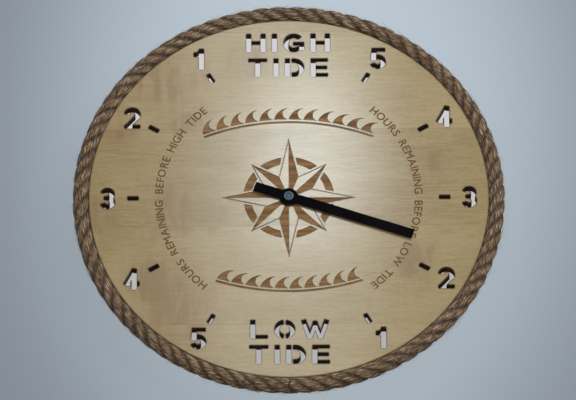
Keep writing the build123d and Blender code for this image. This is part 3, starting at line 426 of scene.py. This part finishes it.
def makeRopeFinish(name, dark):
    f = Finish(name)
    spot = f.spot()
    x, y, z = f.split(spot)
    out = distance(x, z) - ropeRing
    lift = y - ropeMid
    rho = distance(out, lift)
    round_ = lift.maths("ARCTAN2", out)
    along = z.maths("ARCTAN2", x) * ropeRing
    fibreAlong, fibreRound, fibreIn = ropeSet["fibre"]
    slant = round_ * fibreRound + along * ropeSet["fibreSlant"]
    fibre = f.noise(f.vector(along * fibreAlong, slant, rho * fibreIn), 1.0, 3.0, 0.6, 0.3)
    bundleAlong, bundleRound, bundleIn = ropeSet["bundle"]
    bundle = f.noise(f.vector(along * bundleAlong, round_ * bundleRound, rho * bundleIn), 1.0, 2.0, 0.5)
    stain = f.noise(spot, ropeSet["stain"], 2.0)
    fibreShare, bundleShare, stainShare = ropeSet["shares"]
    pallor = fibre.between(*ropeSet["fibreEnds"]) * fibreShare + bundle * bundleShare + stain * stainShare
    shades = (ropeSet["shadow"], ropeSet["hemp"], ropeSet["straw"], ropeSet["bleachedGlint"])
    body = f.ramp(pallor, list(zip(ropeSet["stops"], shades)))
    # painted shade: darker deep in the grooves between the strands
    grooveShade = rho.between(*(share * ropeRadius for share in ropeSet["grooveShade"]))
    grooveLeast, grooveMore = ropeSet["grooveShadeShare"]
    shadow = (grooveShade * (grooveLeast + bundle * grooveMore)).maths("MAXIMUM", dark)
    return f.shade({
        "Base Color": f.mix(shadow, body, ropeSet["shadow"]), "Roughness": 0.78 + fibre * 0.15,
        "Specular IOR Level": 0.25, "Sheen Weight": 0.12, "Sheen Roughness": 0.5,
        "Normal": f.bump(fibre * 0.7 + bundle * 0.3, 0.35 * mm, 0.8),
    })


def makeYarnProfile():
    profile = bpy.data.curves.new("yarnProfile", "CURVE")
    outline = profile.splines.new("POLY")
    count = ropeSet["yarns"] * ropeSet["yarnPoints"]
    outline.points.add(count - 1)
    for k in range(count):
        angle = fullTurn * k / count
        furrow = abs(math.sin(angle * ropeSet["yarns"] / 2)) ** 3
        size = ropeSet["strand"] - ropeSet["yarnDepth"] * furrow
        outline.points[k].co = (size * math.cos(angle), size * math.sin(angle), 0, 1)
    outline.use_cyclic_u = True
    return profile


def makeStrand(index):
    profile = makeYarnProfile()
    holder = bpy.data.objects.new("yarnProfile", profile)
    data = bpy.data.curves.new("strand", "CURVE")
    data.dimensions = "3D"
    data.twist_mode = "MINIMUM"
    data.bevel_mode = "OBJECT"
    data.bevel_object = holder
    data.use_fill_caps = True
    line = data.splines.new("POLY")
    steps = ropeSet["turns"] * ropeSet["steps"]
    line.points.add(steps)
    open_ = ropeSet["gap"] / ropeRing
    reach = ropeRadius - ropeSet["strand"] - ropeSet["sunk"]
    stray, back = ropeSet["swell"]
    swell = 1.0
    for k in range(steps + 1):
        turn = open_ / 2 + (fullTurn - open_) * k / steps
        twist = fullTurn * (ropeSet["turns"] * k / steps + index / ropeSet["strands"])
        twist += ropeSet["wander"] * math.sin(ropeSet["wanderWaves"] * turn + 1.0)
        swell += chance.uniform(-stray, stray) + (1.0 - swell) * back
        line.points[k].co = (*ropePoint(turn, twist, reach * (2.0 - swell)), 1)
        line.points[k].radius = swell
        line.points[k].tilt = ropeSet["yarnTwist"] * twist
    mesh = meshFromCurve(data, "strand")
    bpy.data.objects.remove(holder)
    bpy.data.curves.remove(profile)
    smoothShade(mesh, ropeSet["smooth"])
    return mesh


def makeHairs():
    data = bpy.data.curves.new("hairs", "CURVE")
    data.dimensions = "3D"
    data.bevel_depth = ropeSet["hairThick"]
    data.bevel_resolution = 0
    for k in range(ropeSet["hairs"]):
        turn = chance.uniform(ropeSet["hairEnd"], fullTurn - ropeSet["hairEnd"])
        outward = chance.random() < ropeSet["hairOutShare"]
        twist = chance.uniform(*ropeSet["hairOut" if outward else "hairFront"])
        short = chance.random() < ropeSet["hairShortShare"]
        length = chance.uniform(*ropeSet["hairShort" if short else "hairLong"])
        lean = chance.choice((-1, 1)) * chance.uniform(*ropeSet["hairLean"]) / ropeRing
        rise = chance.uniform(*ropeSet["hairRise"])
        bend = chance.uniform(*ropeSet["hairBend"])
        line = data.splines.new("POLY")
        line.points.add(ropeSet["hairPoints"] - 1)
        for n, point in enumerate(line.points):
            t = n / (ropeSet["hairPoints"] - 1)
            reach = ropeRadius * ropeSet["hairRoot"] + length * rise * t ** 1.4
            point.co = (*ropePoint(turn + lean * length * t, twist + bend * t * t, reach), 1)
            point.radius = 1.0 - 0.7 * t
    return meshFromCurve(data, "hairs")


def makeBead():
    # glue and crushed fibre that fill the hollows between the strands and the rim, coloured mostly with
    # painted shade
    shell = bmesh.new()
    rim = dialRadius + ropeSet["beadClear"]
    inset = ropeSet["beadInset"]
    corners = ((rim, dialFront + inset), (rim + ropeSet["beadFill"], ropeMid), (rim, dialBack - inset))
    loop = [shell.verts.new((out, y, 0)) for out, y in corners]
    edges = [shell.edges.new((loop[n - 1], loop[n])) for n in range(len(loop))]
    bmesh.ops.spin(
        shell, geom=loop + edges, cent=(0, 0, 0), axis=(0, 1, 0), angle=fullTurn,
        steps=ropeSet["beadSteps"], use_merge=True,
    )
    bmesh.ops.remove_doubles(shell, verts=shell.verts, dist=0.001 * mm)
    bmesh.ops.recalc_face_normals(shell, faces=shell.faces)
    return meshFromShell(shell, "glueBead")


ropeFinish = makeRopeFinish("ropeHemp", 0.0)
for n in range(ropeSet["strands"]):
    addPiece("rope_strand_%d" % (n + 1), makeStrand(n), ropeFinish)
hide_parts("rope_trim")
addPiece("rope_stray_fibres", makeHairs(), ropeFinish)
# the bead's finish is mostly the rope's shadow colour: painted shade
addPiece("rope_glue_bead", makeBead(), makeRopeFinish("ropeBeddingShade", ropeSet["beadShade"]))

# small burnt words on two arcs
wordSet = {
    "left": "HOURS REMAINING BEFORE HIGH TIDE",
    "right": "HOURS REMAINING BEFORE LOW TIDE",
    "radius": 97.5 * mm,
    "height": 6.0 * mm,
    "capHeight": 0.70,        # height of a capital in the font, as a share of its size
    "blank": 0.55,            # width of a space, as a share of the height
    "from": 40.0,             # degrees from the top
    "to": 140.0,
    "thick": 0.04 * mm,
    "bold": 0.13 * mm,        # added to each side of a stroke
    "ink": (0.180, 0.094, 0.038),
    "inkDeep": (0.118, 0.062, 0.027),
    "grain": (12.0, 300.0),
}


def letterMesh(letter):
    data = bpy.data.curves.new("letter", "FONT")
    data.body = letter
    data.size = wordSet["height"] / wordSet["capHeight"]
    data.align_x = "CENTER"
    data.bevel_depth = wordSet["bold"]     # an offset would fill the notches of the M
    data.bevel_resolution = 0
    data.resolution_u = 4
    mesh = meshFromCurve(data, "letter")
    mesh.transform(Matrix.Diagonal((1, 1, wordSet["thick"] / (2 * wordSet["bold"]), 1)))
    return mesh


def makeWords(words, startDeg, endDeg):
    radius, height = wordSet["radius"], wordSet["height"]
    meshes = [letterMesh(letter) if letter != " " else None for letter in words]
    widths = []
    for mesh in meshes:
        across = [v.co.x for v in mesh.vertices] if mesh else [0.0, wordSet["blank"] * height]
        widths.append(max(across) - min(across))
    gap = (math.radians(endDeg - startDeg) * radius - sum(widths)) / (len(words) - 1)
    # letters are drawn in XY; they stand up on the dial, tops outwards
    stand = Matrix.Rotation(math.pi / 2, 4, "X")
    lift = Matrix.Translation((0, dialFront - wordSet["thick"] / 2, radius - height / 2))
    shell = bmesh.new()
    along = 0.0
    for mesh, width in zip(meshes, widths):
        angle = math.radians(startDeg) + (along + width / 2) / radius
        along += width + gap
        if not mesh:
            continue
        mesh.transform(Matrix.Rotation(angle, 4, "Y") @ lift @ stand)
        shell.from_mesh(mesh)
        bpy.data.meshes.remove(mesh)
    bmesh.ops.remove_doubles(shell, verts=shell.verts, dist=0.002 * mm)
    return meshFromShell(shell, "burntWords")


def makeWordFinish():
    f = Finish("wordsBurnt")
    x, y, z = f.split(f.spot())
    alongGrain, acrossGrain = wordSet["grain"]
    lines = f.noise(f.vector(x * alongGrain, 0.0, z * acrossGrain), 1.0, 3.0, 0.6)
    return f.shade({
        "Base Color": f.mix(lines.between(0.3, 0.7), wordSet["inkDeep"], wordSet["ink"]),
        "Roughness": 0.6 + lines * 0.2, "Specular IOR Level": 0.08, "Normal": f.bump(lines, 0.03 * mm, 0.4),
    })


wordFinish = makeWordFinish()
addPiece("words_right", makeWords(wordSet["right"], wordSet["from"], wordSet["to"]), wordFinish)
addPiece("words_left", makeWords(wordSet["left"], -wordSet["to"], -wordSet["from"]), wordFinish)
print("words done")


# plain finishes for the hand, the fixings and the movement
def makeMetal(name, colour, rough, grain=900.0):
    f = Finish(name)
    spot = f.spot()
    fine = f.noise(spot, grain, 2.0)
    broad = f.noise(spot, 120.0, 2.0)
    dull = tuple(c * 0.76 for c in colour)
    return f.shade({
        "Base Color": f.mix(broad.between(0.3, 0.7), dull, colour), "Metallic": 1.0,
        "Roughness": rough + (fine - 0.5) * 0.16, "Normal": f.bump(fine, 0.02 * mm, 0.3),
    })


def makePlastic(name, colour, rough, grain=1500.0, gloss=0.5):
    f = Finish(name)
    spot = f.spot()
    fine = f.noise(spot, grain, 2.0)
    broad = f.noise(spot, 60.0, 3.0)
    worn = tuple(min(1.0, c * 1.35 + 0.004) for c in colour)
    return f.shade({
        "Base Color": f.mix(broad.between(0.45, 0.75) * 0.6, colour, worn), "Specular IOR Level": gloss,
        "Roughness": rough + (broad - 0.5) * 0.2, "Normal": f.bump(fine, 0.04 * mm, 0.35),
    })


capSet = {
    "dark": (0.040, 0.056, 0.084),
    "bright": (0.105, 0.130, 0.165),
    # painted shade in a ring inside the cap's shallow dish
    "dishShade": (0.016, 0.022, 0.038),
    "dishShadeOuter": (2.7 * mm, 2.2 * mm),
    "dishShadeInner": (0.8 * mm, 1.6 * mm),
    "rings": 9000.0,          # turning marks, in radians for each metre from the middle
}


def makeCap():
    f = Finish("capTurned")
    spot = f.spot()
    x, y, z = f.split(spot)
    away = distance(x, z)
    fine = f.noise(spot, 1500.0, 3.0)
    rings = (away * capSet["rings"]).maths("SINE") * 0.5 + 0.5
    # painted shade: a dark ring inside the cap's dish
    dishShade = away.between(*capSet["dishShadeOuter"]) * away.between(*capSet["dishShadeInner"])
    colour = f.mix(fine.between(0.35, 0.65) * 0.6 + rings * 0.3, capSet["dark"], capSet["bright"])
    return f.shade({
        "Base Color": f.mix(dishShade * 0.85, colour, capSet["dishShade"]), "Metallic": 0.3,
        "Roughness": 0.36 + fine * 0.14, "Specular IOR Level": 0.3,
        "Normal": f.bump(rings * 0.5 + fine * 0.5, 0.06 * mm, 0.5),
    })


cellSet = {"sleeve": (0.030, 0.032, 0.038), "band": (0.42, 0.27, 0.10), "bandEnds": (12 * mm, 12.3 * mm)}


def makeSleeve():
    f = Finish("cellSleeve")
    spot = f.spot()
    x = f.split(spot)[0]
    band = x.between(*cellSet["bandEnds"])
    fine = f.noise(spot, 500.0, 2.0)
    colour = f.mix(band, cellSet["sleeve"], cellSet["band"])
    return f.shade({"Base Color": colour, "Metallic": band * 0.7 + 0.15, "Roughness": 0.3 + fine * 0.1})


boardSet = {"bare": (0.16, 0.10, 0.035), "track": (0.28, 0.17, 0.05), "tracks": 240.0}


def makeBoard():
    f = Finish("boardLaminate")
    spot = f.spot()
    x, y, z = f.split(spot)
    layout = f.vector(x * boardSet["tracks"], z * boardSet["tracks"], 0.0)
    tracks = f.add("TexBrick", {}, {"Vector": layout, "Scale": 1.0}, out=1)
    weave = f.noise(spot, 1400.0, 2.0)
    return f.shade({
        "Base Color": f.mix(tracks * 0.6, boardSet["bare"], boardSet["track"]),
        "Roughness": 0.45 + weave * 0.1, "Normal": f.bump(tracks, 0.03 * mm, 0.5),
    })


finishes = {
    "tide_hand": makePlastic("handBlackMatt", (0.0014, 0.0010, 0.0022), 0.60, 900.0, 0.03),
    "hand_cap": makeCap(),
    "hand_collet": makeMetal("brassTurned", (0.60, 0.40, 0.14), 0.32),
    "rubber_gasket": makePlastic("rubberBlack", (0.012, 0.012, 0.012), 0.8, 700.0),
    "case_tray": makePlastic("caseBlackGrain", (0.014, 0.014, 0.015), 0.55, 1800.0),
    "tide_wheel": makePlastic("gearAcetal", (0.62, 0.60, 0.55), 0.4),
    "bearing_plate": makePlastic("plateGrey", (0.40, 0.41, 0.41), 0.45),
    "stator": makeMetal("steelNickel", (0.42, 0.41, 0.40), 0.3),
    "rotor": makeMetal("magnetGround", (0.10, 0.10, 0.11), 0.4),
    "coil_winding": makeMetal("copperEnamel", (0.50, 0.19, 0.07), 0.28, 1600.0),
    "circuit_board": makeBoard(),
    "chip_cap": makePlastic("chipResin", (0.008, 0.008, 0.008), 0.25, 500.0),
    "battery_cell": makeSleeve(),
}
sharedFinish = {
    "hand_collet": ("threaded_bush", "brass_washer", "fixing_nut"),
    "case_tray": ("case_cover", "setting_knob"),
    "tide_wheel": (
        "motion_wheel", "cannon_pinion", "clutch_wheel", "third_wheel", "second_wheel", "step_wheel",
    ),
    "bearing_plate": ("coil_bobbin",),
    "stator": ("coil_core", "quartz_crystal", "cover_screws", "positive_contact", "negative_contact"),
    "coil_winding": ("coil_leads",),
}
for name, material in finishes.items():
    for node in (name, *sharedFinish.get(name, ())):
        dress(nodes[node], material)
print("finishes done")

# stage: a pale blue-grey wall behind the clock and a pale floor far below, both seen from one side only
wallSet = {
    "gap": 0.4 * mm,
    "reach": 3.0,
    "bright": (0.500, 0.575, 0.640),
    "dim": (0.232, 0.266, 0.310),
    "behind": (0.62, 0.605, 0.625),
    "behindLow": (0.42, 0.42, 0.43),
    "behindEnds": (-130 * mm, 130 * mm),
    "dark": (0.0, 0.0, 0.0),
    "lit": 0.14,                            # share of the paint that takes light and shadow
    "glowAt": (18 * mm, 68 * mm),           # middle of the painted pool of light
    "glowTall": 0.64,                       # below 1 the painted pool of light is taller than wide
    "glowEnds": (283 * mm, 65 * mm),
    "patchRise": 9 * mm,                    # a painted pool of light on the wall behind the dial, seen through the cuts in the dial
    "patchEnds": (157 * mm, 138 * mm),
    "floorZ": -1.4,
    "floor": (0.62, 0.62, 0.60),
}


def oneSided(f, shader, passing=0.0):
    hole = f.add("NewGeometry", out=6).maths("MAXIMUM", passing)
    return f.finish(f.add("MixShader", inputs={0: hole, 1: shader, 2: f.add("BsdfTransparent")}))


def makeWallFinish():
    f = Finish("wallPaint")
    spot = f.spot()
    x, y, z = f.split(spot)
    grain = f.noise(spot, 160.0, 2.0)
    dark = wallSet["dark"]
    # painted light on the wall: brightest in a pool above the clock, darker towards the edges
    glowX, glowZ = wallSet["glowAt"]
    away = distance(x - glowX, (z - glowZ) * wallSet["glowTall"])
    colour = f.mix(away.between(*wallSet["glowEnds"]), wallSet["dim"], wallSet["bright"])
    # painted light: a bright patch on the wall behind the dial, darker towards the bottom
    paintedPatch = distance(x, z - wallSet["patchRise"]).between(*wallSet["patchEnds"])
    behind = f.mix(z.between(*wallSet["behindEnds"]), wallSet["behindLow"], wallSet["behind"])
    # the unlit share of the paint glows for the eye and for reflections alone, so it adds no light
    # to the clock; the lamps shine through the wall on to the clock's back
    eye, passing, gloss, glass = (f.add("LightPath", out=n) for n in (0, 1, 3, 6))
    seen = eye.maths("MAXIMUM", gloss).maths("MAXIMUM", glass)
    glow = f.mix(paintedPatch, f.mix(1.0 - wallSet["lit"], dark, colour), behind)
    shader = f.add("BsdfPrincipled", inputs={
        "Base Color": f.mix(wallSet["lit"], dark, colour), "Roughness": 0.75 + grain * 0.1,
        "Specular IOR Level": 0.1, "Emission Color": f.mix(seen, dark, glow), "Emission Strength": 1.0,
    })
    return oneSided(f, shader, passing)


def makeFloorFinish():
    f = Finish("floorPale")
    rough = 0.7 + f.noise(f.spot(), 30.0, 3.0) * 0.1
    colour = (*wallSet["floor"], 1)
    return oneSided(f, f.add("BsdfPrincipled", inputs={"Base Color": colour, "Roughness": rough}))


def addStage(name, finish, place):
    shell = bmesh.new()
    bmesh.ops.create_grid(shell, x_segments=1, y_segments=1, size=wallSet["reach"])
    bmesh.ops.transform(shell, matrix=place, verts=shell.verts)
    plane = putInScene(name, meshFromShell(shell, name))
    dress(plane, finish)


upright = Matrix.Rotation(math.pi / 2, 4, "X")
addStage("wallStage", makeWallFinish(), Matrix.Translation((0, wallSet["gap"], 0)) @ upright)
addStage("floorStage", makeFloorFinish(), Matrix.Translation((0, 0, wallSet["floorZ"])))

# light: even daylight, soft lamps, and a tall window and a small lamp whose shine lies on the varnish
worldSet = {"colour": (0.95, 0.97, 1.0), "power": 0.47}
cool = (0.86, 0.95, 1.0)
white = (1.0, 1.0, 1.0)
lampSet = {
    "window": {
        "energy": 1.05, "size": (0.17, 0.48), "colour": cool,
        "at": (-0.004, -0.92, 0.47), "aim": (-0.004, -0.025, 0.01),
    },
    "lamp": {
        "energy": 0.66, "size": (0.09, 0.16), "colour": cool,
        "at": (0.016, -0.92, 0.49), "aim": (0.016, -0.025, 0.03),
    },
    "sky": {"energy": 13.0, "size": (1.0, 1.0), "colour": white, "at": (0.95, -1.5, 0.55), "aim": (0, 0, 0)},
    "fill": {"energy": 3.4, "size": (0.9, 0.9), "colour": white, "at": (0.1, -1.3, -0.9), "aim": (0, 0, 0)},
    "back": {"energy": 38.0, "size": (1.4, 1.4), "colour": white, "at": (0.5, 1.6, 1.2), "aim": (0, 0, 0)},
}


def makeLights():
    world = bpy.data.worlds.new("evenDaylight")
    bpy.context.scene.world = world
    world.use_nodes = True
    daylight = world.node_tree.nodes["Background"].inputs
    daylight["Color"].default_value = (*worldSet["colour"], 1)
    daylight["Strength"].default_value = worldSet["power"]
    for name, lamp in lampSet.items():
        data = bpy.data.lights.new(name + "Area", "AREA")
        data.shape = "ELLIPSE"
        data.energy, data.color = lamp["energy"], lamp["colour"]
        data.size, data.size_y = lamp["size"]
        holder = putInScene(name + "Area", data)
        holder.location = lamp["at"]
        aim = Vector(lamp["aim"]) - Vector(lamp["at"])
        holder.rotation_euler = aim.to_track_quat("-Z", "Y").to_euler()


makeLights()
bpy.context.scene.view_settings.view_transform = "Standard"
print("stage and light done")
